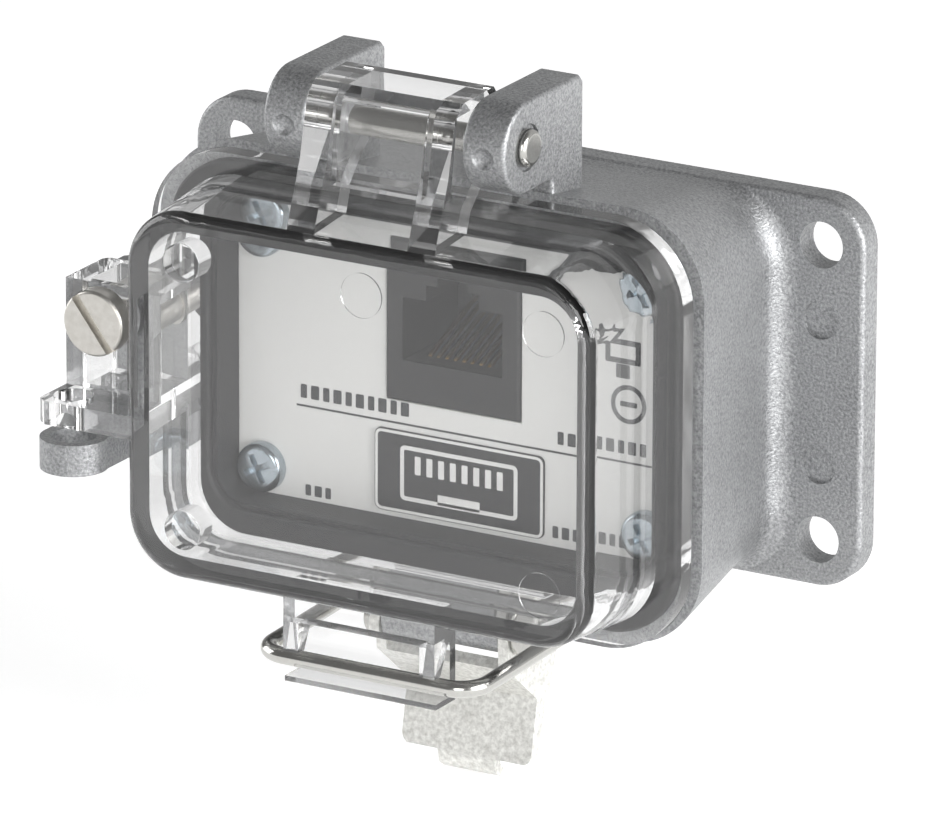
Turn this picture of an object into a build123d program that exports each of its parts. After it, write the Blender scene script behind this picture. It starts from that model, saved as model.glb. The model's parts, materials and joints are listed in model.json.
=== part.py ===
"""Panel-mount data interface port: cast housing, hinged clear cover, draw latch, lock screw and an
RJ45 coupler behind a light face plate.

Frame: origin at the centre of the flange's back face, +X to the right seen from the front,
+Y into the panel, +Z up. The front of the port faces -Y. Millimetres.
"""
import os
from math import sqrt

from build123d import *

# ---------------------------------------------------------------- driving dimensions
FLANGE_W, FLANGE_H, FLANGE_T = 80.0, 42.2, 3.0
FLANGE_CORNER, FLANGE_EDGE = 5.2, 0.6
HOLE_SPAN_X, HOLE_SPAN_Z, HOLE_R = 70.0, 32.0, 2.5
MARK_SPAN_Z, MARK_R, MARK_DEPTH = 15.7, 2.05, 0.5   # shallow round ejector marks beside the holes

BODY_BACK_W, BODY_BACK_H, BODY_BACK_R = 59.6, 41.9, 8.0
BODY_FRONT_W, BODY_FRONT_H, BODY_FRONT_R = 64.0, 46.8, 9.2
BODY_FRONT_Y = -22.4                       # plane of the housing's front face
ROOT_R = 2.6                               # sweep of the body into the flange
ROOT_STEPS = (0.0, 0.08, 0.2, 0.36, 0.6, 1.0)
OPENING_W, OPENING_H, OPENING_R = 50.6, 32.2, 3.4
CAVITY_W, CAVITY_H, CAVITY_R = 52.6, 35.2, 5.0
CORNER_BLOCK_W, CORNER_BLOCK_H, POST_R, POST_END_Y = 8.0, 7.0, 3.3, -6.0
SEAL_OUT_W, SEAL_OUT_H, SEAL_OUT_R = 61.0, 40.2, 7.6
SEAL_IN_W, SEAL_IN_H, SEAL_IN_R = 55.0, 37.0, 6.0
SEAL_T = 1.0                               # panel gasket, flush in a groove of the flange's back
PLATE_FRONT_Y, PLATE_T = -18.3, 2.0
PLATE_BACK_Y = PLATE_FRONT_Y + PLATE_T
PLATE_GAP = 0.2                            # clearance of the plate all round
PLATE_SCREW_X, PLATE_SCREW_Z = 22.0, 12.9
PLATE_SCREW_R, PLATE_HOLE_R, SCREW_END_Y, SCREW_HOLE_END_Y = 1.3, 1.7, -8.6, -8.0
SCREW_HEAD_R, SCREW_HEAD_T, SCREW_HEAD_EDGE = 2.7, 1.5, 0.7
CROSS_LEN, CROSS_W, CROSS_DEPTH, CROSS_ANGLE = 3.2, 0.7, 1.0, 25
BADGE_X, BADGE_Z, BADGE_W, BADGE_H, BADGE_R, BADGE_T = 1.65, -10.7, 20.2, 9.0, 0.8, 0.3
RIM_SEAL_OUT = (60.4, 43.6, 8.0)           # width, height and corner radius of the rim gasket
RIM_SEAL_IN = (51.0, 32.6, 4.4)
RIM_SEAL_EDGE, RIM_SEAL_GAP = 0.4, 0.1
LINING_T, LINING_END_Y = 0.35, -18.4       # its thin lip along the wall of the opening

RIM_W, RIM_H, RIM_R = 63.0, 46.0, 9.0      # clear cover's flange
RIM_BACK_Y, RIM_T = -23.8, 2.1
RIM_FRONT_Y = RIM_BACK_Y - RIM_T
DOME_BASE_W, DOME_BASE_H, DOME_BASE_R = 57.2, 41.8, 7.6
DOME_FRONT_W, DOME_FRONT_H, DOME_FRONT_R = 55.0, 39.6, 6.6
DOME_FRONT_Y = -37.9
DOME_WALL, DOME_FRONT_WALL, DOME_EDGE, DOME_ROOT = 2.2, 2.0, 1.3, 0.8

HINGE_Y, HINGE_Z = -27.6, 29.75            # hinge axis, along X
HINGE_PIN_R, RUNNING_GAP = 1.5, 0.05
EAR_IN, EAR_OUT, EAR_R = 9.2, 14.2, 4.85   # cast hinge ears, one each side
EAR_BACK_Y, EAR_ROOT_Z, EAR_EDGE, EAR_HEEL = -15.9, 20.0, 0.5, 0.7
DIMPLE_R, DIMPLE_OUT, DIMPLE_DROP = 1.6, 0.9, 0.5   # peened dimples on the noses of the ears
PIN_SEAT_R, PIN_SEAT_DEPTH, PIN_HEAD_R, PIN_HEAD_T, PIN_HEAD_EDGE = 2.5, 0.4, 2.0, 1.1, 0.6
HOOD_X, HOOD_RIB = 8.7, 3.2                # clear hinge ribs between the ears
HOOD_RIB_PROFILE = ((-24.9, 34.7), (-31.2, 34.5), (-32.8, 33.0), (-34.2, 27.0), (-37.0, 19.7), (-36.6, 18.8),
                    (-31.0, 18.8), (-29.6, 22.6), (-26.6, 25.6), (-23.4, 28.2), (-23.4, 32.8))   # y, z
HOOD_PROFILE = ((-24.9, 34.7), (-31.2, 34.5), (-32.2, 33.4), (-33.2, 28.0), (-33.4, 24.2), (-31.6, 24.2),
                (-31.2, 27.5), (-30.4, 32.6), (-24.9, 32.8))
DISCS, DISC_R, DISC_RISE = ((0, 14.2), (21.3, 13.6), (21.0, -14.4)), 2.4, 0.2   # moulding marks in the cover
PEGS, PEG_R, PEG_LEN = ((-21.4, 14.2), (-21.4, -14.8)), 2.1, 2.6

LOCK_X, LOCK_Z = -34.0, 4.7                # lock screw axis, along Y
LOCK_FACE_Y = -31.8                        # front of the clear tab that the head sits on
LOCK_THREAD_R, LOCK_SHANK_R, LOCK_HEAD_R, LOCK_HEAD_T = 2.0, 1.6, 3.55, 2.0
LOCK_HEAD_EDGE, LOCK_TIP_CHAMFER = 0.35, 0.5
LOCK_SHANK_END_Y, LOCK_TIP_Y = -23.9, -19.4
LOCK_SLOT_W, LOCK_SLOT_DEPTH, LOCK_SLOT_ANGLE = 0.95, 1.2, -52.6
LOCK_BORE_Y, LOCK_BORE_LEN = -17.4, 7.0
BLOCK_IN, BLOCK_STEP, BLOCK_OUT, BLOCK_TOP = -28.5, -31.9, -38.8, 7.5   # cast block beside the housing
SIDE_FRONT_Y, BLOCK_WAIST_Y, BLOCK_BACK_Y = -23.4, -19.6, -9.0
BOSS_R, BOSS_BACK_Y, BOSS_LEN = 3.4, -14.0, 9.4

HASP_X, HASP_Y = -35.8, -34.6              # padlock hole axis, along Z
HASP_TOP, HASP_BOTTOM = -7.5, -10.9
HASP_EYE_R, HASP_HOLE_R, SHELF_HOLE_R = 3.6, 2.4, 2.1
SHELF_TOP, SHELF_BOTTOM, SHELF_OUT, SHELF_IN = -3.05, -5.6, -38.4, -26.8
TAB_TOP, TAB_OUT, TAB_IN, TAB_EDGE = 8.6, -38.4, -26.4, 1.0   # clear tab over the lock screw
TAB_ROOM_TOP, TAB_ROOM_OUT, TAB_ROOM_IN, TAB_WALL = 6.9, -36.55, -31.65, 2.0

PIVOT_Y, PIVOT_Z = -17.4, -26.84           # latch lever pivot, along X
LUG_HALF_W, LUG_R, LUG_TOP, LUG_BACK = 6.4, 2.3, -20.0, 1.3
LATCH_PIN_END, LATCH_HEAD_R, LATCH_HEAD_T, LATCH_HEAD_EDGE = 7.9, 2.2, 0.9, 0.5
BAIL_Y, BAIL_Z = -12.4, -26.4              # bail pivot in the lever, along X
BAR_Y, BAR_Z, WIRE_R = -35.2, -27.0, 0.9   # front bar of the bail
BAIL_LEFT, BAIL_RIGHT, BAIL_END = 13.2, 12.4, 6.0
BAIL_BEND, BAIL_CORNER = 1.6, 3.0
LEVER_HALF_W, SHEET_T = 7.8, 1.2
LEVER_END_Z, TIP_END_Z, TIP_HALF_W, LEVER_CORNER = -42.3, -44.6, 3.4, 1.4
BEND_Y, BEND_Z = -13.6, -35.2              # outer corner between the lever's two faces
LEVER_TOP_Y, LEVER_TOP_Z, LEVER_END_Y = -19.7, -30.3, -15.0
HOOK_HALF_W, HOOK_RIB = 9.0, 1.8
HOOK_TOP, HOOK_FRONT_Y, HOOK_BACK_Y, HOOK_WEB_Y = -18.8, -37.2, -32.9, -34.05
LIP_TOP, LIP_BOTTOM, LIP_FRONT_Y, RIB_END, RIB_FOOT_Y, BEAM_BOTTOM = -28.4, -29.0, -36.9, -25.6, -36.0, -22.4

JACK_X = 0.8                               # the coupler stands a little right of the middle
JACK_HALF_W, JACK_LOW, JACK_HIGH = 8.0, -3.0, 12.6
JACK_GAP, JACK_CHAMFER, COLLAR_T, COLLAR_LEN = 0.05, 0.3, 1.5, 6.0
JACK_FRONT_Y, JACK_BACK_Y = -18.6, 11.4
PORT_W, PORT_LOW, PORT_HIGH = 11.8, 1.6, 8.4
PORT_DEPTH = 11.5
TAB_SLOT_W, TAB_SLOT_H = 6.2, 1.7          # slot for the plug's latch tab, above the port
TAB_NOTCH_W, TAB_NOTCH_H = 3.4, 1.0
CONTACT_PITCH, CONTACT_R, CONTACTS = 1.016, 0.2, 8
BOARD_W, BOARD_H, BOARD_T, BOARD_RISE = 13.0, 10.8, 1.6, 1.0
BOARD_GAP, BOARD_ROOM, COMB_ROOM = 0.1, 0.3, 4.2
COMB_W, COMB_H, COMB_T = 8.6, 1.0, 2.4
COMB_Z = PORT_LOW + 3.9


def front(y):
    """Plane whose normal points to the front (-Y), at height y."""
    return Plane.XZ.offset(-y)


def side(x):
    """Plane whose normal points to +X, with local axes along Y and Z."""
    return Plane.YZ.offset(x)


# ---------------------------------------------------------------- housing (die-cast)
# hinge ear on the right: a flat-topped arm with a round nose about the hinge axis
with BuildPart() as ear:
    with BuildSketch(side(EAR_IN)):
        with BuildLine():
            Polyline((HINGE_Y, HINGE_Z + EAR_R), (EAR_BACK_Y - EAR_HEEL, HINGE_Z + EAR_R),
                     (EAR_BACK_Y, HINGE_Z + EAR_R - EAR_HEEL), (EAR_BACK_Y, EAR_ROOT_Z),
                     (BODY_FRONT_Y + EAR_EDGE, EAR_ROOT_Z), (BODY_FRONT_Y, HINGE_Z - EAR_R),
                     (HINGE_Y, HINGE_Z - EAR_R))
            ThreePointArc((HINGE_Y, HINGE_Z - EAR_R), (HINGE_Y - EAR_R, HINGE_Z), (HINGE_Y, HINGE_Z + EAR_R))
        make_face()
    extrude(amount=EAR_OUT - EAR_IN)
    fillet(ear.faces().filter_by(Axis.X).edges(), EAR_EDGE)

with BuildPart() as housing:
    with BuildSketch(front(0)):
        RectangleRounded(FLANGE_W, FLANGE_H, FLANGE_CORNER)
    extrude(amount=FLANGE_T)
    fillet(housing.faces().sort_by(Axis.Y)[0].edges(), FLANGE_EDGE)
    # body, swept out of the flange at its root and slightly wider at the front
    for step in ROOT_STEPS:
        away = ROOT_R * (1 - step)
        grow = 2 * (ROOT_R - sqrt(ROOT_R**2 - away**2))
        with BuildSketch(front(-FLANGE_T - ROOT_R * step)):
            RectangleRounded(BODY_BACK_W + grow, BODY_BACK_H, BODY_BACK_R)
    loft(ruled=True)
    with BuildSketch(front(-FLANGE_T - ROOT_R)):
        RectangleRounded(BODY_BACK_W, BODY_BACK_H, BODY_BACK_R)
    with BuildSketch(front(BODY_FRONT_Y)):
        RectangleRounded(BODY_FRONT_W, BODY_FRONT_H, BODY_FRONT_R)
    loft()
    add(ear.part)
    add(mirror(ear.part, about=Plane.YZ, mode=Mode.PRIVATE))
    # cast block beside the housing: lock screw boss above, padlock arm below
    with BuildSketch(Plane.XY.offset(HASP_BOTTOM)):
        with BuildLine():
            Polyline((BLOCK_IN, BODY_FRONT_Y), (BLOCK_STEP, BODY_FRONT_Y), (BLOCK_STEP, SIDE_FRONT_Y),
                     (BLOCK_OUT, SIDE_FRONT_Y), (BLOCK_OUT, BLOCK_WAIST_Y), (BLOCK_IN - 2.0, BLOCK_BACK_Y),
                     (BLOCK_IN, BLOCK_BACK_Y), close=True)
        make_face()
    extrude(amount=BLOCK_TOP - HASP_BOTTOM)
    with BuildSketch(front(BOSS_BACK_Y)):
        with Locations((LOCK_X, LOCK_Z)):
            Circle(BOSS_R)
    extrude(amount=BOSS_LEN)
    with BuildSketch(Plane.XY.offset(HASP_BOTTOM)):
        with Locations((HASP_X, HASP_Y)):
            Circle(HASP_EYE_R)
        with BuildLine():
            Polyline((HASP_X - HASP_EYE_R, HASP_Y), (HASP_X + 3.4, HASP_Y + 0.6), (HASP_X + 3.5, -27.0),
                     (HASP_X + 3.5, -20.0), (HASP_X - 1.8, -18.0), (HASP_X - 3.2, -22.0), close=True)
        make_face()
    extrude(amount=HASP_TOP - HASP_BOTTOM)
    # lug under the housing for the lever's pivot pin
    with BuildSketch(side(-LUG_HALF_W)):
        with BuildLine():
            Polyline((PIVOT_Y - LUG_R, PIVOT_Z), (PIVOT_Y - LUG_R, LUG_TOP),
                     (PIVOT_Y + LUG_R + LUG_BACK, LUG_TOP), (PIVOT_Y + LUG_R, PIVOT_Z))
            ThreePointArc((PIVOT_Y + LUG_R, PIVOT_Z), (PIVOT_Y, PIVOT_Z - LUG_R), (PIVOT_Y - LUG_R, PIVOT_Z))
        make_face()
    extrude(amount=2 * LUG_HALF_W)
    # opening for the face plate, wider cavity behind it, screw posts in its corners
    with BuildSketch(front(PLATE_BACK_Y)):
        RectangleRounded(OPENING_W, OPENING_H, OPENING_R)
    extrude(amount=PLATE_BACK_Y - BODY_FRONT_Y, mode=Mode.SUBTRACT)
    with BuildSketch(front(0)):
        RectangleRounded(CAVITY_W, CAVITY_H, CAVITY_R)
        with GridLocations(2 * PLATE_SCREW_X, 2 * PLATE_SCREW_Z, 2, 2):
            Circle(POST_R, mode=Mode.SUBTRACT)
        with GridLocations(CAVITY_W, CAVITY_H, 2, 2):
            Rectangle(CORNER_BLOCK_W, CORNER_BLOCK_H, mode=Mode.SUBTRACT)
    extrude(amount=-PLATE_BACK_Y, mode=Mode.SUBTRACT)
    with BuildSketch(front(POST_END_Y)):
        RectangleRounded(CAVITY_W, CAVITY_H, CAVITY_R)
    extrude(amount=POST_END_Y, mode=Mode.SUBTRACT)
    # groove for the panel gasket, then the holes
    with BuildSketch(front(0)):
        RectangleRounded(SEAL_OUT_W, SEAL_OUT_H, SEAL_OUT_R)
        RectangleRounded(SEAL_IN_W, SEAL_IN_H, SEAL_IN_R, mode=Mode.SUBTRACT)
    extrude(amount=SEAL_T, mode=Mode.SUBTRACT)
    with BuildSketch(front(0)):
        with GridLocations(HOLE_SPAN_X, HOLE_SPAN_Z, 2, 2):
            Circle(HOLE_R)
    extrude(amount=FLANGE_T, mode=Mode.SUBTRACT)
    with BuildSketch(front(-FLANGE_T + MARK_DEPTH)):
        with GridLocations(HOLE_SPAN_X, MARK_SPAN_Z, 2, 2):
            Circle(MARK_R)
    extrude(amount=MARK_DEPTH, mode=Mode.SUBTRACT)
    with BuildSketch(front(SCREW_HOLE_END_Y)):
        with GridLocations(2 * PLATE_SCREW_X, 2 * PLATE_SCREW_Z, 2, 2):
            Circle(PLATE_SCREW_R)
    extrude(amount=SCREW_HOLE_END_Y - PLATE_BACK_Y, mode=Mode.SUBTRACT)
    with BuildSketch(side(-EAR_OUT)):
        with Locations((HINGE_Y, HINGE_Z)):
            Circle(HINGE_PIN_R)
    extrude(amount=2 * EAR_OUT, mode=Mode.SUBTRACT)
    with BuildSketch(side(EAR_OUT - PIN_SEAT_DEPTH)):
        with Locations((HINGE_Y, HINGE_Z)):
            Circle(PIN_SEAT_R)
    extrude(amount=PIN_SEAT_DEPTH, mode=Mode.SUBTRACT)
    with BuildSketch(side(-LUG_HALF_W)):
        with Locations((PIVOT_Y, PIVOT_Z)):
            Circle(HINGE_PIN_R)
    extrude(amount=2 * LUG_HALF_W, mode=Mode.SUBTRACT)
    with BuildSketch(front(LOCK_BORE_Y)):
        with Locations((LOCK_X, LOCK_Z)):
            Circle(LOCK_THREAD_R + RUNNING_GAP)
    extrude(amount=LOCK_BORE_LEN, mode=Mode.SUBTRACT)
    with BuildSketch(Plane.XY.offset(HASP_BOTTOM)):
        with Locations((HASP_X, HASP_Y)):
            Circle(HASP_HOLE_R)
    extrude(amount=HASP_TOP - HASP_BOTTOM, mode=Mode.SUBTRACT)
    # peened dimples that hold the pin, on the noses of the ears
    for sign in (-1, 1):
        with Locations((sign * (EAR_IN + EAR_OUT) / 2, HINGE_Y - EAR_R - DIMPLE_OUT, HINGE_Z - DIMPLE_DROP)):
            Sphere(DIMPLE_R, mode=Mode.SUBTRACT)

# ---------------------------------------------------------------- seals (rubber)
with BuildPart() as panel_gasket:
    with BuildSketch(front(0)):
        RectangleRounded(SEAL_OUT_W, SEAL_OUT_H, SEAL_OUT_R)
        RectangleRounded(SEAL_IN_W, SEAL_IN_H, SEAL_IN_R, mode=Mode.SUBTRACT)
    extrude(amount=SEAL_T)

with BuildPart() as rim_gasket:
    with BuildSketch(front(BODY_FRONT_Y)):
        RectangleRounded(*RIM_SEAL_OUT)
        RectangleRounded(*RIM_SEAL_IN, mode=Mode.SUBTRACT)
    extrude(amount=BODY_FRONT_Y - RIM_BACK_Y - RIM_SEAL_GAP)
    fillet(rim_gasket.faces().sort_by(Axis.Y)[0].edges(), RIM_SEAL_EDGE)
    with BuildSketch(front(LINING_END_Y)):
        RectangleRounded(OPENING_W, OPENING_H, OPENING_R)
        RectangleRounded(OPENING_W - 2 * LINING_T, OPENING_H - 2 * LINING_T, OPENING_R - LINING_T,
                         mode=Mode.SUBTRACT)
    extrude(amount=LINING_END_Y - BODY_FRONT_Y + RIM_SEAL_EDGE)
    with BuildSketch(front(BODY_FRONT_Y)):
        RectangleRounded(*RIM_SEAL_OUT)
        RectangleRounded(OPENING_W - 2 * LINING_T, OPENING_H - 2 * LINING_T, OPENING_R - LINING_T,
                         mode=Mode.SUBTRACT)
    extrude(amount=RIM_SEAL_EDGE)

# ---------------------------------------------------------------- clear cover (polycarbonate)
with BuildPart() as cover:
    with BuildSketch(front(RIM_FRONT_Y + DOME_ROOT)):
        RectangleRounded(DOME_BASE_W, DOME_BASE_H, DOME_BASE_R)
    with BuildSketch(front(DOME_FRONT_Y)):
        RectangleRounded(DOME_FRONT_W, DOME_FRONT_H, DOME_FRONT_R)
    loft()
    fillet(cover.faces().sort_by(Axis.Y)[0].edges(), DOME_EDGE)
    with BuildSketch(front(RIM_BACK_Y)):
        RectangleRounded(RIM_W, RIM_H, RIM_R)
    extrude(amount=RIM_T)
    # tab over the lock screw and the hasp shelf below it
    with BuildSketch(front(RIM_BACK_Y)):
        with Locations(((TAB_OUT + TAB_IN) / 2, (TAB_TOP + SHELF_BOTTOM) / 2)):
            Rectangle(TAB_IN - TAB_OUT, TAB_TOP - SHELF_BOTTOM)
    extrude(amount=RIM_BACK_Y - LOCK_FACE_Y)
    fillet(cover.edges().filter_by(Axis.Z).sort_by(Axis.X)[0:1], TAB_EDGE)
    with BuildSketch(Plane.XY.offset(SHELF_BOTTOM)):
        with BuildLine():
            Polyline((SHELF_IN, LOCK_FACE_Y + 0.5), (SHELF_OUT, LOCK_FACE_Y + 0.5),
                     (SHELF_OUT, DOME_FRONT_Y + 0.9), (SHELF_OUT + 1.0, DOME_FRONT_Y),
                     (SHELF_IN, DOME_FRONT_Y + 0.05), close=True)
        make_face()
    extrude(amount=SHELF_TOP - SHELF_BOTTOM)
    # latch hook: beam, two ribs, back web and lower lip
    with BuildSketch(side(-HOOK_HALF_W)):
        with BuildLine():
            Polyline((HOOK_FRONT_Y, HOOK_TOP), (HOOK_FRONT_Y, RIB_END), (RIB_FOOT_Y, RIB_END),
                     (HOOK_WEB_Y - 0.35, BEAM_BOTTOM), (HOOK_WEB_Y, BEAM_BOTTOM), (HOOK_WEB_Y, LIP_TOP),
                     (LIP_FRONT_Y, LIP_TOP), (LIP_FRONT_Y, LIP_BOTTOM), (HOOK_BACK_Y, LIP_BOTTOM),
                     (HOOK_BACK_Y, HOOK_TOP), close=True)
        make_face()
    extrude(amount=2 * HOOK_HALF_W)
    with BuildSketch(side(-HOOK_HALF_W + HOOK_RIB)):
        with BuildLine():
            Polyline((HOOK_FRONT_Y - 0.8, BEAM_BOTTOM + 0.2), (HOOK_FRONT_Y - 0.8, RIB_END - 1.4),
                     (HOOK_WEB_Y, RIB_END - 1.4), (HOOK_WEB_Y, BEAM_BOTTOM + 0.2), close=True)
        make_face()
    extrude(amount=2 * (HOOK_HALF_W - HOOK_RIB), mode=Mode.SUBTRACT)
    # hollow of the dome and of the tab
    with BuildSketch(front(RIM_BACK_Y)):
        RectangleRounded(DOME_BASE_W - 2 * DOME_WALL, DOME_BASE_H - 2 * DOME_WALL, DOME_BASE_R - DOME_WALL)
    with BuildSketch(front(DOME_FRONT_Y + DOME_FRONT_WALL)):
        RectangleRounded(DOME_FRONT_W - 2 * DOME_WALL, DOME_FRONT_H - 2 * DOME_WALL, DOME_FRONT_R - DOME_WALL)
    loft(mode=Mode.SUBTRACT)
    with BuildSketch(front(RIM_BACK_Y)):
        with Locations(((TAB_ROOM_OUT + TAB_ROOM_IN) / 2, (TAB_ROOM_TOP + SHELF_TOP) / 2)):
            Rectangle(TAB_ROOM_IN - TAB_ROOM_OUT, TAB_ROOM_TOP - SHELF_TOP)
    extrude(amount=RIM_BACK_Y - LOCK_FACE_Y - TAB_WALL, mode=Mode.SUBTRACT)
    with BuildSketch(front(RIM_BACK_Y)):
        with Locations((LOCK_X, LOCK_Z)):
            Circle(LOCK_SHANK_R + 2 * RUNNING_GAP)
    extrude(amount=RIM_BACK_Y - LOCK_FACE_Y, mode=Mode.SUBTRACT)
    with BuildSketch(Plane.XY.offset(SHELF_BOTTOM)):
        with Locations((HASP_X, HASP_Y)):
            Circle(SHELF_HOLE_R)
    extrude(amount=SHELF_TOP - SHELF_BOTTOM, mode=Mode.SUBTRACT)
    # hinge ribs and the hood between them
    for sign in (-1, 1):
        with BuildSketch(side(sign * (HOOD_X - HOOD_RIB))):
            with BuildLine():
                Polyline(*HOOD_RIB_PROFILE, close=True)
            make_face()
        extrude(amount=sign * HOOD_RIB)
    with BuildSketch(side(-HOOD_X + HOOD_RIB)):
        with BuildLine():
            Polyline(*HOOD_PROFILE, close=True)
        make_face()
    extrude(amount=2 * (HOOD_X - HOOD_RIB))
    with BuildSketch(side(-HOOD_X)):
        with Locations((HINGE_Y, HINGE_Z)):
            Circle(HINGE_PIN_R + RUNNING_GAP)
    extrude(amount=2 * HOOD_X, mode=Mode.SUBTRACT)
    # moulded marks on the inner front face: discs, and pegs in the left corners
    with BuildSketch(front(DOME_FRONT_Y + DOME_FRONT_WALL)):
        with Locations(*DISCS):
            Circle(DISC_R)
    extrude(amount=-DISC_RISE)
    with BuildSketch(front(DOME_FRONT_Y + DOME_FRONT_WALL)):
        with Locations(*PEGS):
            Circle(PEG_R)
    extrude(amount=-PEG_LEN)

# ---------------------------------------------------------------- hinge pin and lock screw
with BuildPart() as hinge_pin:
    with BuildSketch(side(-EAR_OUT)):
        with Locations((HINGE_Y, HINGE_Z)):
            Circle(HINGE_PIN_R)
    extrude(amount=2 * EAR_OUT)
    with BuildSketch(side(EAR_OUT - PIN_SEAT_DEPTH + RUNNING_GAP)):
        with Locations((HINGE_Y, HINGE_Z)):
            Circle(PIN_HEAD_R)
    extrude(amount=PIN_HEAD_T)
    fillet(hinge_pin.faces().sort_by(Axis.X)[-1].edges(), PIN_HEAD_EDGE)

with BuildPart() as lock_screw:
    with BuildSketch(front(LOCK_FACE_Y)):
        with Locations((LOCK_X, LOCK_Z)):
            Circle(LOCK_HEAD_R)
    extrude(amount=LOCK_HEAD_T)
    fillet(lock_screw.faces().sort_by(Axis.Y)[0].edges(), LOCK_HEAD_EDGE)
    with BuildSketch(front(LOCK_SHANK_END_Y)):
        with Locations((LOCK_X, LOCK_Z)):
            Circle(LOCK_SHANK_R)
    extrude(amount=LOCK_SHANK_END_Y - LOCK_FACE_Y)
    with BuildSketch(front(LOCK_TIP_Y)):
        with Locations((LOCK_X, LOCK_Z)):
            Circle(LOCK_THREAD_R)
    extrude(amount=LOCK_TIP_Y - LOCK_SHANK_END_Y)
    chamfer(lock_screw.faces().sort_by(Axis.Y)[-1].edges(), LOCK_TIP_CHAMFER)
    with BuildSketch(front(LOCK_FACE_Y - LOCK_HEAD_T + LOCK_SLOT_DEPTH)):
        with Locations(Location((LOCK_X, LOCK_Z), LOCK_SLOT_ANGLE)):
            Rectangle(3 * LOCK_HEAD_R, LOCK_SLOT_W)
    extrude(amount=LOCK_SLOT_DEPTH, mode=Mode.SUBTRACT)

# ---------------------------------------------------------------- draw latch
with BuildPart() as latch_pin:
    with BuildSketch(side(-LATCH_PIN_END)):
        with Locations((PIVOT_Y, PIVOT_Z)):
            Circle(HINGE_PIN_R)
    extrude(amount=2 * LATCH_PIN_END)
    for sign in (-1, 1):
        with BuildSketch(side(sign * LATCH_PIN_END)):
            with Locations((PIVOT_Y, PIVOT_Z)):
                Circle(LATCH_HEAD_R)
        extrude(amount=sign * LATCH_HEAD_T)
    for end in (0, -1):
        fillet(latch_pin.faces().sort_by(Axis.X)[end].edges(), LATCH_HEAD_EDGE)

with BuildPart() as latch_lever:
    # bent plate: steep upper face, pull plate and a curled finger tip
    with BuildSketch(side(-LEVER_HALF_W)):
        with BuildLine():
            Polyline((LEVER_TOP_Y, LEVER_TOP_Z), (BEND_Y, BEND_Z), (LEVER_END_Y, LEVER_END_Z),
                     (LEVER_END_Y + SHEET_T, LEVER_END_Z - 0.2), (BEND_Y + 1.3, BEND_Z + 0.2),
                     (LEVER_TOP_Y + 0.9, LEVER_TOP_Z + 0.9), close=True)
        make_face()
    extrude(amount=2 * LEVER_HALF_W)
    with BuildSketch(side(-TIP_HALF_W)):
        with BuildLine():
            Polyline((LEVER_END_Y + 0.16, LEVER_END_Z + 0.8), (LEVER_END_Y, LEVER_END_Z),
                     (LEVER_END_Y + 0.4, TIP_END_Z + 0.7), (LEVER_END_Y + 1.4, TIP_END_Z),
                     (LEVER_END_Y + 2.1, TIP_END_Z + 0.7), (LEVER_END_Y + 1.4, TIP_END_Z + 1.5),
                     (LEVER_END_Y + 1.3, LEVER_END_Z + 0.8), close=True)
        make_face()
    extrude(amount=2 * TIP_HALF_W)
    for sign in (-1, 1):
        with BuildSketch(side(sign * (LEVER_HALF_W - SHEET_T))):
            with BuildLine():
                Polyline((PIVOT_Y - 2.5, PIVOT_Z), (LEVER_TOP_Y, LEVER_TOP_Z), (BEND_Y, BEND_Z),
                         (LEVER_END_Y, LEVER_END_Z), (LEVER_END_Y + SHEET_T, LEVER_END_Z - 0.2),
                         (BAIL_Y + 0.2, -37.4), (BAIL_Y + 1.8, -34.0), (BAIL_Y + 2.8, -31.0),
                         (BAIL_Y + 2.4, BAIL_Z), (BAIL_Y + 1.4, BAIL_Z + 2.0), (BAIL_Y - 0.6, BAIL_Z + 2.4),
                         (PIVOT_Y + 0.6, PIVOT_Z + 2.6), (PIVOT_Y - 1.6, PIVOT_Z + 2.0), close=True)
            make_face()
        extrude(amount=sign * SHEET_T)
    for y, z, r in ((PIVOT_Y, PIVOT_Z, HINGE_PIN_R), (BAIL_Y, BAIL_Z, WIRE_R)):
        with BuildSketch(side(-LEVER_HALF_W)):
            with Locations((y, z)):
                Circle(r + RUNNING_GAP)
        extrude(amount=2 * LEVER_HALF_W, mode=Mode.SUBTRACT)
    # outline seen from the front: rounded corners, and a narrower tip
    outline_low = LEVER_END_Z - 0.2
    with BuildSketch(front(HOOK_FRONT_Y)):
        with Locations((0, (outline_low + LUG_TOP) / 2)):
            RectangleRounded(2 * LEVER_HALF_W, LUG_TOP - outline_low, LEVER_CORNER)
        with Locations((0, LEVER_END_Z)):
            Rectangle(2 * TIP_HALF_W, 6.0)
    extrude(amount=HOOK_FRONT_Y, mode=Mode.INTERSECT)

with BuildPart() as latch_bail:
    with BuildLine() as wire:
        FilletPolyline((-BAIL_END, BAIL_Y, BAIL_Z), (-BAIL_LEFT, BAIL_Y, BAIL_Z), (-BAIL_LEFT, BAR_Y, BAR_Z),
                       (BAIL_RIGHT, BAR_Y, BAR_Z), (BAIL_RIGHT, BAIL_Y, BAIL_Z), (BAIL_END, BAIL_Y, BAIL_Z),
                       radius=(BAIL_BEND, BAIL_CORNER, BAIL_CORNER, BAIL_BEND))
    with BuildSketch(Plane(wire.line @ 0, z_dir=wire.line % 0)):
        Circle(WIRE_R)
    sweep()

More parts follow.
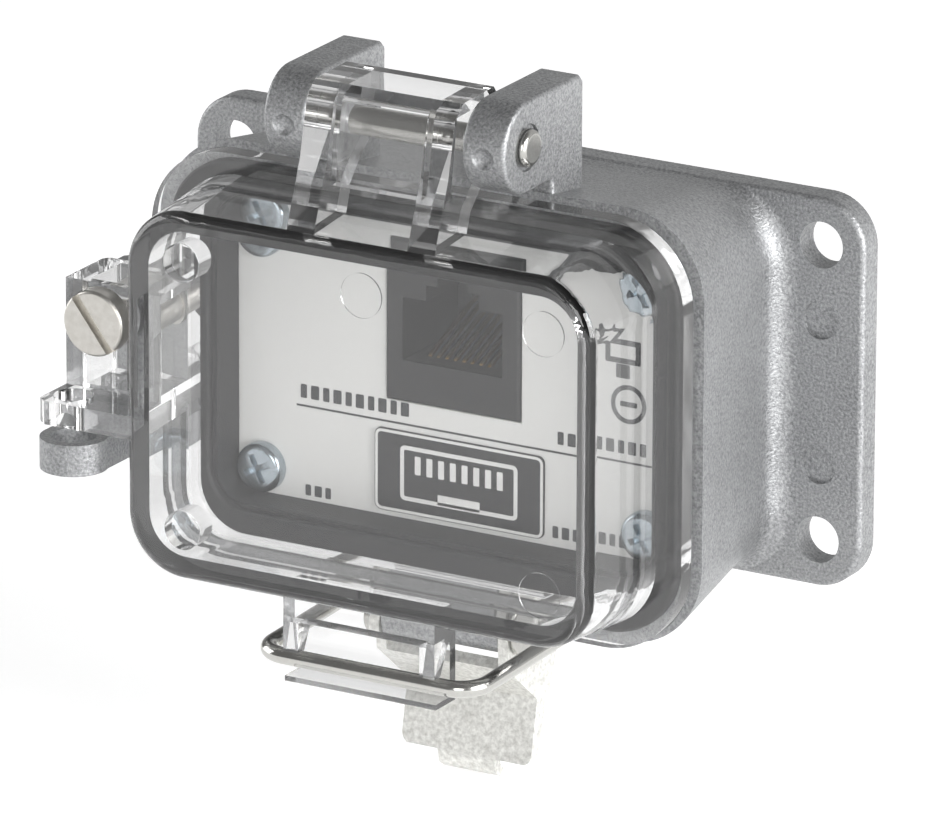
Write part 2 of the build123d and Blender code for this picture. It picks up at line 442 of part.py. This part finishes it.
# ---------------------------------------------------------------- face plate and its fasteners
SNAP_W = 2 * (JACK_HALF_W + JACK_GAP)
SNAP_H = JACK_HIGH - JACK_LOW + 2 * JACK_GAP
with BuildPart() as face_plate:
    with BuildSketch(front(PLATE_BACK_Y)):
        RectangleRounded(OPENING_W - 2 * PLATE_GAP, OPENING_H - 2 * PLATE_GAP, OPENING_R - PLATE_GAP)
        with Locations((JACK_X, (JACK_LOW + JACK_HIGH) / 2)):
            Rectangle(SNAP_W, SNAP_H, mode=Mode.SUBTRACT)
        with GridLocations(2 * PLATE_SCREW_X, 2 * PLATE_SCREW_Z, 2, 2):
            Circle(PLATE_HOLE_R, mode=Mode.SUBTRACT)
    extrude(amount=PLATE_T)
    # collar behind the plate that the coupler snaps into
    with BuildSketch(front(PLATE_BACK_Y + COLLAR_LEN)):
        with Locations((JACK_X, (JACK_LOW + JACK_HIGH) / 2)):
            Rectangle(SNAP_W + 2 * COLLAR_T, SNAP_H + 2 * COLLAR_T)
            Rectangle(SNAP_W, SNAP_H, mode=Mode.SUBTRACT)
    extrude(amount=COLLAR_LEN)

with BuildPart() as label_badge:
    with BuildSketch(front(PLATE_FRONT_Y)):
        with Locations((BADGE_X, BADGE_Z)):
            RectangleRounded(BADGE_W, BADGE_H, BADGE_R)
    extrude(amount=BADGE_T)

with BuildPart() as face_plate_screws:
    with BuildSketch(front(SCREW_END_Y)):
        with GridLocations(2 * PLATE_SCREW_X, 2 * PLATE_SCREW_Z, 2, 2):
            Circle(PLATE_SCREW_R)
    extrude(amount=SCREW_END_Y - PLATE_FRONT_Y)
    with BuildSketch(front(PLATE_FRONT_Y)):
        with GridLocations(2 * PLATE_SCREW_X, 2 * PLATE_SCREW_Z, 2, 2):
            Circle(SCREW_HEAD_R)
    extrude(amount=SCREW_HEAD_T)
    fillet(face_plate_screws.faces().filter_by(Axis.Y).group_by(Axis.Y)[0].edges(), SCREW_HEAD_EDGE)
    with BuildSketch(front(PLATE_FRONT_Y - SCREW_HEAD_T + CROSS_DEPTH)):
        with GridLocations(2 * PLATE_SCREW_X, 2 * PLATE_SCREW_Z, 2, 2):
            Rectangle(CROSS_LEN, CROSS_W, rotation=CROSS_ANGLE)
            Rectangle(CROSS_W, CROSS_LEN, rotation=CROSS_ANGLE)
    extrude(amount=CROSS_DEPTH, mode=Mode.SUBTRACT)

# ---------------------------------------------------------------- RJ45 coupler
MID_Y = (JACK_FRONT_Y + JACK_BACK_Y) / 2
PORT_Z = (PORT_LOW + PORT_HIGH) / 2
coupler = {}
for end, mouth, inward in (("front", JACK_FRONT_Y, 1), ("rear", JACK_BACK_Y, -1)):
    with BuildPart() as shell:
        with BuildSketch(front(mouth)):
            with Locations((JACK_X, (JACK_LOW + JACK_HIGH) / 2)):
                Rectangle(2 * JACK_HALF_W, JACK_HIGH - JACK_LOW)
        extrude(amount=-inward * abs(MID_Y - mouth))
        chamfer(shell.faces().sort_by(Axis.Y)[0 if inward > 0 else -1].edges(), JACK_CHAMFER)
        # plug port with the two steps of the latch tab's slot above it
        with BuildSketch(front(mouth)):
            with Locations((JACK_X, PORT_Z)):
                Rectangle(PORT_W, PORT_HIGH - PORT_LOW)
            with Locations((JACK_X, PORT_HIGH + TAB_SLOT_H / 2 - 0.1)):
                Rectangle(TAB_SLOT_W, TAB_SLOT_H + 0.2)
            with Locations((JACK_X, PORT_HIGH + TAB_SLOT_H + TAB_NOTCH_H / 2 - 0.1)):
                Rectangle(TAB_NOTCH_W, TAB_NOTCH_H + 0.2)
        extrude(amount=-inward * PORT_DEPTH, mode=Mode.SUBTRACT)
        # pocket for the board, and the slot that carries the contacts to it
        with BuildSketch(front(MID_Y)):
            with Locations((JACK_X, PORT_Z + BOARD_RISE)):
                Rectangle(BOARD_W + 2 * BOARD_GAP, BOARD_H + 2 * BOARD_GAP)
        extrude(amount=inward * (BOARD_T / 2 + BOARD_ROOM), mode=Mode.SUBTRACT)
        with BuildSketch(front(MID_Y)):
            with Locations((JACK_X, COMB_Z)):
                Rectangle(COMB_W, COMB_H)
        extrude(amount=inward * COMB_ROOM, mode=Mode.SUBTRACT)
    coupler[f"coupler_{end}_shell"] = shell

with BuildPart() as coupler_board:
    with BuildSketch(front(MID_Y + BOARD_T / 2)):
        with Locations((JACK_X, PORT_Z + BOARD_RISE)):
            Rectangle(BOARD_W, BOARD_H)
    extrude(amount=BOARD_T)

for end, mouth, inward in (("front", JACK_FRONT_Y, 1), ("rear", JACK_BACK_Y, -1)):
    board_face = MID_Y - inward * BOARD_T / 2
    with BuildPart() as contacts:
        for number in range(CONTACTS):
            x = JACK_X + (number - (CONTACTS - 1) / 2) * CONTACT_PITCH
            with BuildSketch(side(x - CONTACT_R)):
                with BuildLine():
                    Polyline((mouth + inward * 1.5, PORT_LOW + 0.35), (mouth + inward * 1.9, PORT_LOW + 0.75),
                             (mouth + inward * 10.6, COMB_Z + CONTACT_R), (board_face, COMB_Z + CONTACT_R),
                             (board_face, COMB_Z - CONTACT_R), (mouth + inward * 10.7, COMB_Z - CONTACT_R),
                             (mouth + inward * 2.1, PORT_LOW + 0.35), close=True)
                make_face()
            extrude(amount=2 * CONTACT_R)
    coupler[f"{end}_contacts"] = contacts
    # plastic comb that spaces the contacts where they meet the board
    with BuildPart() as comb:
        with BuildSketch(front(board_face)):
            with Locations((JACK_X, COMB_Z)):
                Rectangle(COMB_W, COMB_H)
                with GridLocations(CONTACT_PITCH, 1, CONTACTS, 1):
                    Rectangle(2 * CONTACT_R, 2 * CONTACT_R, mode=Mode.SUBTRACT)
        extrude(amount=inward * COMB_T)
    coupler[f"{end}_contact_comb"] = comb

# ---------------------------------------------------------------- export
PARTS = {
    "housing": housing,
    "panel_gasket": panel_gasket,
    "rim_gasket": rim_gasket,
    "cover": cover,
    "hinge_pin": hinge_pin,
    "lock_screw": lock_screw,
    "latch_pin": latch_pin,
    "latch_lever": latch_lever,
    "latch_bail": latch_bail,
    "face_plate": face_plate,
    "label_badge": label_badge,
    "face_plate_screws": face_plate_screws,
    "coupler_board": coupler_board,
    **coupler,
}
os.makedirs("parts", exist_ok=True)
for name, piece in PARTS.items():
    piece.part.label = name
    export_step(piece.part, f"parts/{name}.step")
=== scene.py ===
import json
from math import pi, radians

import bpy
from mathutils import Matrix, Vector


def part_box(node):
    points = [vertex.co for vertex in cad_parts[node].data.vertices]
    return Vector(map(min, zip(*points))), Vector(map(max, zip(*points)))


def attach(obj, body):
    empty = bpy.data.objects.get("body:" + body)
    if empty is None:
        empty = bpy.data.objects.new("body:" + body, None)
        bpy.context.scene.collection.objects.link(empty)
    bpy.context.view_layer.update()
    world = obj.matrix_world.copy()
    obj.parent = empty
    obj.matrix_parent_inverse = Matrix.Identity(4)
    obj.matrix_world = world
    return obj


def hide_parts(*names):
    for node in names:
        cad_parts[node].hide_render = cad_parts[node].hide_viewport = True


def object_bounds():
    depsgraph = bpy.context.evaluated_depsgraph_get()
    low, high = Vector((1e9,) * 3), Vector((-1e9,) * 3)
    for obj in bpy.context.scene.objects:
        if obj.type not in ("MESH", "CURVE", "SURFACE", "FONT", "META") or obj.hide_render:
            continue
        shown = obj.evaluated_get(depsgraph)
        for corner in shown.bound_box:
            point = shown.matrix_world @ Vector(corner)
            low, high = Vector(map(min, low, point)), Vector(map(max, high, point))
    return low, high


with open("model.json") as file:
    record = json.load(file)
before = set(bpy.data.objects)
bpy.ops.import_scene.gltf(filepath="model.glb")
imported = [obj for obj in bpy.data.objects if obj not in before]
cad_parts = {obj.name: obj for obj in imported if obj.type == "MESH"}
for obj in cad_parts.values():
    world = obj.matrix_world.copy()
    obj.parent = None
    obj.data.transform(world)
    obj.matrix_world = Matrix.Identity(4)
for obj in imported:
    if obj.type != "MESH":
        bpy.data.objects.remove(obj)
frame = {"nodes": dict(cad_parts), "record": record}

cad_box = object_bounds()
scene = bpy.context.scene
MM = 0.001
bpy.ops.object.select_all(action="DESELECT")


# ---------------------------------------------------------------- housing
# The body of the port: one die-cast shell of aluminium alloy with its flange, hinge ears, lock
# block, padlock arm and latch lug. It is shot-blasted and clear-coated, so it has a fine even grain.
CAST_LIGHT, CAST_DARK = "#BFC0C1", "#616264"
CAST_EDGE, CAST_GRAIN = 0.2, 0.3       # edge rounding and blasting grain, in millimetres
CAST_GRAIN_DEPTH = 0.09
PATCH_SCALE = 60.0                      # slow change of tone over the surface, about 17 mm across
WELD, FLAT_ANGLE = 0.002, 0.6           # millimetres and degrees within which faces are merged


def linear(hex_colour):
    """sRGB hex to linear RGBA."""
    parts = [int(hex_colour[i:i + 2], 16) / 255 for i in (1, 3, 5)]
    return [c / 12.92 if c <= 0.04045 else ((c + 0.055) / 1.055) ** 2.4 for c in parts] + [1.0]


def add_node(tree, kind, settings=None, links=None):
    """Adds a node, sets its attributes and sockets, and links other nodes' outputs to its sockets."""
    node = tree.nodes.new(kind)
    for key, value in (settings or {}).items():
        if isinstance(key, str) and hasattr(node, key):
            setattr(node, key, value)
        else:
            node.inputs[key].default_value = value
    for key, socket in (links or {}).items():
        tree.links.new(socket, node.inputs[key])
    return node


def grained(name, light, dark, grain, depth, roughness, metallic=0.0, detail=3.0, spread=0.08,
            contrast=0.65):
    """Material with a fine grain in colour, roughness and relief. grain and depth are in millimetres."""
    material = bpy.data.materials.new(name)
    material.use_nodes = True
    tree = material.node_tree
    shader = tree.nodes["Principled BSDF"]
    place = add_node(tree, "ShaderNodeTexCoord").outputs["Object"]
    fine = add_node(tree, "ShaderNodeTexNoise",
                    {"Scale": 1 / (grain * MM), "Detail": detail, "Roughness": 0.6}, {"Vector": place})
    patch = add_node(tree, "ShaderNodeTexNoise", {"Scale": PATCH_SCALE, "Detail": 2.0}, {"Vector": place})
    mixed = add_node(tree, "ShaderNodeMath", {"operation": "MULTIPLY_ADD", 1: 0.35, 2: 0.325 - contrast / 2},
                     {0: patch.outputs["Fac"]})
    tone = add_node(tree, "ShaderNodeMath", {"operation": "MULTIPLY_ADD", 1: contrast, "use_clamp": True},
                    {0: fine.outputs["Fac"], 2: mixed.outputs[0]})
    colour = add_node(tree, "ShaderNodeMix", {"data_type": "RGBA", 6: linear(dark), 7: linear(light)},
                      {0: tone.outputs[0]})
    rough = add_node(tree, "ShaderNodeMapRange",
                     {"To Min": roughness - spread, "To Max": roughness + spread},
                     {"Value": patch.outputs["Fac"]})
    relief = add_node(tree, "ShaderNodeBump", {"Strength": 1.0, "Distance": depth * MM},
                      {"Height": fine.outputs["Fac"]})
    tree.links.new(colour.outputs[2], shader.inputs["Base Color"])
    tree.links.new(rough.outputs["Result"], shader.inputs["Roughness"])
    tree.links.new(relief.outputs["Normal"], shader.inputs["Normal"])
    shader.inputs["Metallic"].default_value = metallic
    return material


def finish_node(node, material, edge, angle=30.0, segments=3):
    """Copy of a CAD node with its faces merged and its sharp edges rounded by edge millimetres."""
    source = frame["nodes"][node]
    piece = bpy.data.objects.new(node + "_finished", source.data.copy())
    scene.collection.objects.link(piece)
    bpy.context.view_layer.objects.active = piece
    piece.select_set(True)
    bpy.ops.object.mode_set(mode="EDIT")
    bpy.ops.mesh.select_all(action="SELECT")
    bpy.ops.mesh.customdata_custom_splitnormals_clear()
    bpy.ops.mesh.remove_doubles(threshold=WELD * MM)
    bpy.ops.mesh.dissolve_limited(angle_limit=radians(FLAT_ANGLE))
    bpy.ops.object.mode_set(mode="OBJECT")
    if edge:
        rounding = piece.modifiers.new("edges", "BEVEL")
        rounding.width = edge * MM
        rounding.segments = segments
        rounding.limit_method = "ANGLE"
        rounding.angle_limit = radians(angle)
        bpy.ops.object.modifier_apply(modifier="edges")
    bpy.ops.object.shade_smooth_by_angle(angle=radians(angle))
    flatten = piece.modifiers.new("flat_faces", "WEIGHTED_NORMAL")
    flatten.keep_sharp = True
    bpy.ops.object.modifier_apply(modifier="flat_faces")
    piece.data.materials.clear()
    piece.data.materials.append(material)
    piece.select_set(False)
    body = next(name for name, members in frame["record"]["behaviour"]["bodies"].items() if node in members)
    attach(piece, body)
    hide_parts(node)
    return piece


# fine grain of tone from shot-blasting, with painted glints and painted shade for the sparkle of its tiny
# facets; the real ones are finer than drawn
cast_aluminium = grained("cast_aluminium_shot_blasted", CAST_LIGHT, CAST_DARK, CAST_GRAIN,
                         CAST_GRAIN_DEPTH, roughness=0.44, metallic=0.75, contrast=1.45)
finish_node("housing", cast_aluminium, CAST_EDGE)


# ---------------------------------------------------------------- seals
# Two gaskets punched and moulded from black nitrile rubber: one in the flange's groove, one
# between the housing and the cover's rim. Rubber is matt with a slight bloom.
# moulded nitrile rubber is nearly black and matt
rubber = grained("nitrile_rubber_moulded", "#161617", "#0C0C0D", 0.9, 0.004, roughness=0.6)
for seal in ("panel_gasket", "rim_gasket"):
    finish_node(seal, rubber, 0.15)


# ---------------------------------------------------------------- cover
# The hinged lid, injection-moulded in one shot of clear polycarbonate with its hood, tab, shelf and
# latch hook. It is polished, bends what is behind it, and its edges look darker than its faces.
POLYCARBONATE_IOR, COVER_EDGE = 1.586, 0.3
RIPPLE_SCALE, RIPPLE_DEPTH = 160.0, 0.01   # crests about 6 mm apart, and their height in millimetres
SLANT_CLARITY = 0.95                       # share of the light that a slanting surface lets through
polycarbonate = bpy.data.materials.new("polycarbonate_clear_moulded")
polycarbonate.use_nodes = True
clear_tree = polycarbonate.node_tree
clear_shader = clear_tree.nodes["Principled BSDF"]
for socket, value in {"Base Color": linear("#F7F7F7"), "Roughness": 0.02,
                      "IOR": POLYCARBONATE_IOR}.items():
    clear_shader.inputs[socket].default_value = value
# moulded skin scatters a little of the light that meets it at a slant
slant = add_node(clear_tree, "ShaderNodeLayerWeight", {"Blend": 0.5}).outputs["Facing"]
clarity = add_node(clear_tree, "ShaderNodeMapRange",
                   {"From Min": 0.3, "From Max": 0.9, "To Min": 1.0, "To Max": SLANT_CLARITY},
                   {"Value": slant})
clear_tree.links.new(clarity.outputs["Result"], clear_shader.inputs["Transmission Weight"])
# slow ripple of the moulded skin
clear_place = add_node(clear_tree, "ShaderNodeTexCoord").outputs["Object"]
ripple = add_node(clear_tree, "ShaderNodeTexNoise", {"Scale": RIPPLE_SCALE, "Detail": 1.0},
                  {"Vector": clear_place})
ripple_relief = add_node(clear_tree, "ShaderNodeBump", {"Strength": 0.3, "Distance": RIPPLE_DEPTH * MM},
                         {"Height": ripple.outputs["Fac"]})
clear_tree.links.new(ripple_relief.outputs["Normal"], clear_shader.inputs["Normal"])
# rays from the lamps pass straight through, so that the plate behind the lid is lit
lamp_ray = add_node(clear_tree, "ShaderNodeLightPath").outputs["Is Shadow Ray"]
lamp_pass = add_node(clear_tree, "ShaderNodeBsdfTransparent", {"Color": linear("#EBEBEB")})
clear_mix = add_node(clear_tree, "ShaderNodeMixShader", None,
                     {0: lamp_ray, 1: clear_shader.outputs[0], 2: lamp_pass.outputs[0]})
clear_tree.links.new(clear_mix.outputs[0], clear_tree.nodes["Material Output"].inputs["Surface"])
finish_node("cover", polycarbonate, COVER_EDGE)


# ---------------------------------------------------------------- pins and lock screw
# The hinge and latch pins are turned stainless steel, closed by a rounded head. The lock screw is
# turned steel with bright nickel plating.
stainless = grained("stainless_steel_turned", "#C9C8C4", "#A9A8A4", 0.5, 0.004, roughness=0.24,
                    metallic=1.0)
nickel = grained("nickel_plated_steel_turned", "#E2E0DC", "#A7A39B", 0.8, 0.006, roughness=0.34,
                 metallic=1.0, detail=6.0)
for pin in ("hinge_pin", "latch_pin"):
    finish_node(pin, stainless, 0.1)
finish_node("lock_screw", nickel, 0.08)


# ---------------------------------------------------------------- draw latch
# The lever is pressed from zinc-plated sheet, whose spangle shows as speckles. The bail is one
# length of bright stainless wire.
zinc_sheet = grained("zinc_plated_sheet_pressed", "#FFFFFB", "#96948F", 0.5, 0.03, roughness=0.42,
                     metallic=0.55, detail=6.0, contrast=1.3)
wire_steel = grained("stainless_wire_drawn", "#D2D1CD", "#B5B4B0", 0.3, 0.003, roughness=0.16,
                     metallic=1.0)
finish_node("latch_lever", zinc_sheet, 0.15)
finish_node("latch_bail", wire_steel, 0.0, angle=60)


# ---------------------------------------------------------------- face plate
# A plate moulded in light grey ABS with a spark-eroded texture, held by four cross-recessed
# screws in blue-passivated zinc plating.
plate_plastic = grained("abs_moulded_light_grey", "#CFCFCD", "#C2C2C0", 0.5, 0.012, roughness=0.5)
blue_zinc = grained("steel_blue_zinc_plated", "#C3CBD0", "#8E9AA2", 1.6, 0.004, roughness=0.22,
                    metallic=1.0)
finish_node("face_plate", plate_plastic, 0.2)
finish_node("face_plate_screws", blue_zinc, 0.06)


# ---------------------------------------------------------------- coupler
# The network coupler: two black shells snapped into the plate, a small board between them, and
# gold-plated spring contacts in plastic combs.
coupler_black = grained("pbt_moulded_black", "#0F0F10", "#070708", 0.5, 0.006, roughness=0.5)
board_green = grained("glass_epoxy_board_green", "#1F5A36", "#163F27", 0.8, 0.01, roughness=0.4)
gold = grained("gold_plated_bronze", "#E3B85C", "#C99B3F", 0.3, 0.002, roughness=0.22, metallic=1.0)
for end in ("front", "rear"):
    finish_node(f"coupler_{end}_shell", coupler_black, 0.12)
    finish_node(f"{end}_contact_comb", coupler_black, 0.05)
    finish_node(f"{end}_contacts", gold, 0.03)
finish_node("coupler_board", board_green, 0.1)


# ---------------------------------------------------------------- badge and printed marks
# A dark polyester label with a light border and a plain socket symbol, and pad-printed marks on
# the face plate: rows of blank ticks, rules and two symbols. Ink stands a hair above the surface.
INK_T, RULE_W, HAIR_CORNER, ICON_CORNER = 0.03, 0.22, 0.05, 0.1
badge_black = grained("polyester_label_printed", "#19191A", "#121213", 0.7, 0.002, roughness=0.4)
dark_ink = grained("pad_print_ink_dark", "#2A2B2D", "#232426", 0.5, 0.001, roughness=0.6)
light_ink = grained("screen_print_ink_light", "#D2D2D0", "#C6C6C4", 0.5, 0.001, roughness=0.6)
finish_node("label_badge", badge_black, 0.05)


def ink_mark(x, z, width, height, front_y, corner=0.12, line=None):
    """Rounded patch of ink centred at x, z in millimetres; with line, an outline of that width."""
    bpy.ops.mesh.primitive_plane_add(size=1.0, location=(x * MM, front_y - 0.2 * INK_T * MM, z * MM),
                                     rotation=(pi / 2, 0, 0), scale=(1, 1, 1))
    mark = bpy.context.object
    mark.scale = (width * MM, height * MM, 1)
    bpy.ops.object.transform_apply(location=True, rotation=True, scale=True)
    bpy.ops.object.mode_set(mode="EDIT")
    bpy.ops.mesh.bevel(offset=corner * MM, segments=5, affect="VERTICES")
    if line:
        bpy.ops.mesh.select_all(action="SELECT")
        bpy.ops.mesh.inset(thickness=line * MM)
        bpy.ops.mesh.delete(type="FACE")
    bpy.ops.object.mode_set(mode="OBJECT")
    mark.select_set(False)
    return mark


def printed(name, marks, ink):
    """Joins marks into one printed piece on the housing's body, with the thickness of the ink."""
    for mark in marks:
        mark.select_set(True)
    bpy.context.view_layer.objects.active = marks[0]
    bpy.ops.object.join()
    piece = bpy.context.object
    piece.name = name
    body = piece.modifiers.new("ink", "SOLIDIFY")
    body.thickness = INK_T * MM
    body.offset = 1.0
    bpy.ops.object.modifier_apply(modifier="ink")
    piece.data.materials.append(ink)
    piece.select_set(False)
    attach(piece, "housing")


def tick_row(start, end, z, height, pitch, front_y):
    """Row of blank ticks from start to end, in place of words, narrow and wide by turns."""
    count = int((end - start) / pitch)
    return [ink_mark(start + pitch * (i + 0.5), z, pitch * (0.55 + 0.17 * (i % 2)), height, front_y)
            for i in range(count)]


plate_low, plate_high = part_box("face_plate")
badge_low, badge_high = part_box("label_badge")
plate_y, badge_y = plate_low.y, badge_low.y
marks = tick_row(-17.8, -4.0, -3.9, 1.5, 1.35, plate_y)
marks += [ink_mark(2.2, -5.5, 40.4, RULE_W, plate_y, HAIR_CORNER)]
marks += tick_row(-17.2, -13.6, -14.7, 1.2, 1.2, plate_y)
marks += tick_row(12.9, 22.4, -3.9, 1.4, 1.3, plate_y) + tick_row(12.4, 22.6, -14.2, 1.3, 1.2, plate_y)
# a plug outline on a stem, and a ring around a dash
marks += [ink_mark(18.9, 6.4, 4.2, 2.6, plate_y, 0.2, 0.6),
          ink_mark(18.9, 4.3, 1.6, 1.5, plate_y, ICON_CORNER),
          ink_mark(19.6, 0.8, 4.2, 4.2, plate_y, 2.05, 0.5),
          ink_mark(19.6, 0.8, 2.0, 0.55, plate_y, ICON_CORNER)]
printed("plate_print", marks, dark_ink)

badge_x, badge_z = [(badge_low[i] + badge_high[i]) / 2 / MM for i in (0, 2)]
badge_w, badge_h = [(badge_high[i] - badge_low[i]) / MM for i in (0, 2)]
marks = [ink_mark(badge_x, badge_z, badge_w - 0.2, badge_h - 0.2, badge_y, 0.75, 0.3),
         ink_mark(badge_x, badge_z, 14.0, 6.0, badge_y, 0.6, 0.45),
         ink_mark(badge_x, badge_z - 2.3, 5.0, 1.1, badge_y, ICON_CORNER)]
marks += [ink_mark(badge_x + (i - 3.5) * 1.4, badge_z + 1.0, 0.7, 2.0, badge_y, ICON_CORNER)
          for i in range(8)]
printed("badge_print", marks, light_ink)


# ---------------------------------------------------------------- studio
# A pale sweep of paper, soft lamps and a long-lens camera above and to the right of the front.
FLOOR_SIZE, FLOOR_GAP = 6.0, 0.3 * MM
ROOM_GREY, BACKDROP_GREY = "#7A7A7A", "#D8D8D8"
BACKDROP_SIDE = (0.35, 0.93, -0.1)
low = Vector(cad_box[0])
bpy.ops.mesh.primitive_plane_add(size=FLOOR_SIZE, location=(0, 0, low.z - FLOOR_GAP))
floor = bpy.context.object
floor.name = "paper_floor"
paper = bpy.data.materials.new("paper_white")
paper.use_nodes = True
paper_shader = paper.node_tree.nodes["Principled BSDF"]
for socket, value in {"Base Color": linear("#E8E8E8"), "Roughness": 0.9, "Emission Color": linear("#FFFFFF"),
                      "Emission Strength": 0.48}.items():
    paper_shader.inputs[socket].default_value = value
floor.data.materials.append(paper)
floor.select_set(False)

# a dim room, with a pale backdrop behind the object on its right
world = bpy.data.worlds.new("studio")
scene.world = world
world.use_nodes = True
room = world.node_tree
direction = add_node(room, "ShaderNodeTexCoord").outputs["Generated"]
toward = add_node(room, "ShaderNodeVectorMath", {"operation": "DOT_PRODUCT", 1: BACKDROP_SIDE},
                  {0: direction})
share = add_node(room, "ShaderNodeMapRange",
                 {"interpolation_type": "SMOOTHSTEP", "From Min": 0.1, "From Max": 0.85},
                 {"Value": toward.outputs["Value"]})
colours = add_node(room, "ShaderNodeMix",
                   {"data_type": "RGBA", 6: linear(ROOM_GREY), 7: linear(BACKDROP_GREY)},
                   {0: share.outputs["Result"]})
room.links.new(colours.outputs[2], room.nodes["Background"].inputs["Color"])
scene.view_settings.view_transform = "Standard"

aim = Vector((0, -0.02, 0))
LAMPS = {                               # place, size and power of each soft lamp
    "right": ((1.15, -0.18, 0.25), 0.9, 26.0),
    "front": ((0.45, -1.3, 0.35), 0.6, 5.5),
    "left": ((-1.1, -0.2, 0.3), 0.8, 6.0),
}
for name, (place, size, power) in LAMPS.items():
    lamp = bpy.data.lights.new(name, "AREA")
    lamp.size = size
    lamp.energy = power
    holder = bpy.data.objects.new(name, lamp)
    scene.collection.objects.link(holder)
    holder.location = place
    holder.rotation_euler = (aim - Vector(place)).to_track_quat("-Z", "Y").to_euler()

AZIMUTH, ELEVATION, ROLL = radians(29.723), radians(18.506), radians(0.228)
DISTANCE, LENS = 1.22, 449.2
camera_target = Vector((0.0031, -0.0191, -0.0037))
camera = bpy.data.objects.new("camera", bpy.data.cameras.new("camera"))
scene.collection.objects.link(camera)
camera.data.lens = LENS
camera.data.clip_start = 0.05
camera.data.clip_end = 20.0
turn = (Matrix.Rotation(AZIMUTH, 4, "Z") @ Matrix.Rotation(pi / 2 - ELEVATION, 4, "X")
        @ Matrix.Rotation(ROLL, 4, "Z"))
camera.matrix_world = Matrix.Translation(camera_target) @ turn @ Matrix.Translation((0, 0, DISTANCE))
scene.camera = camera
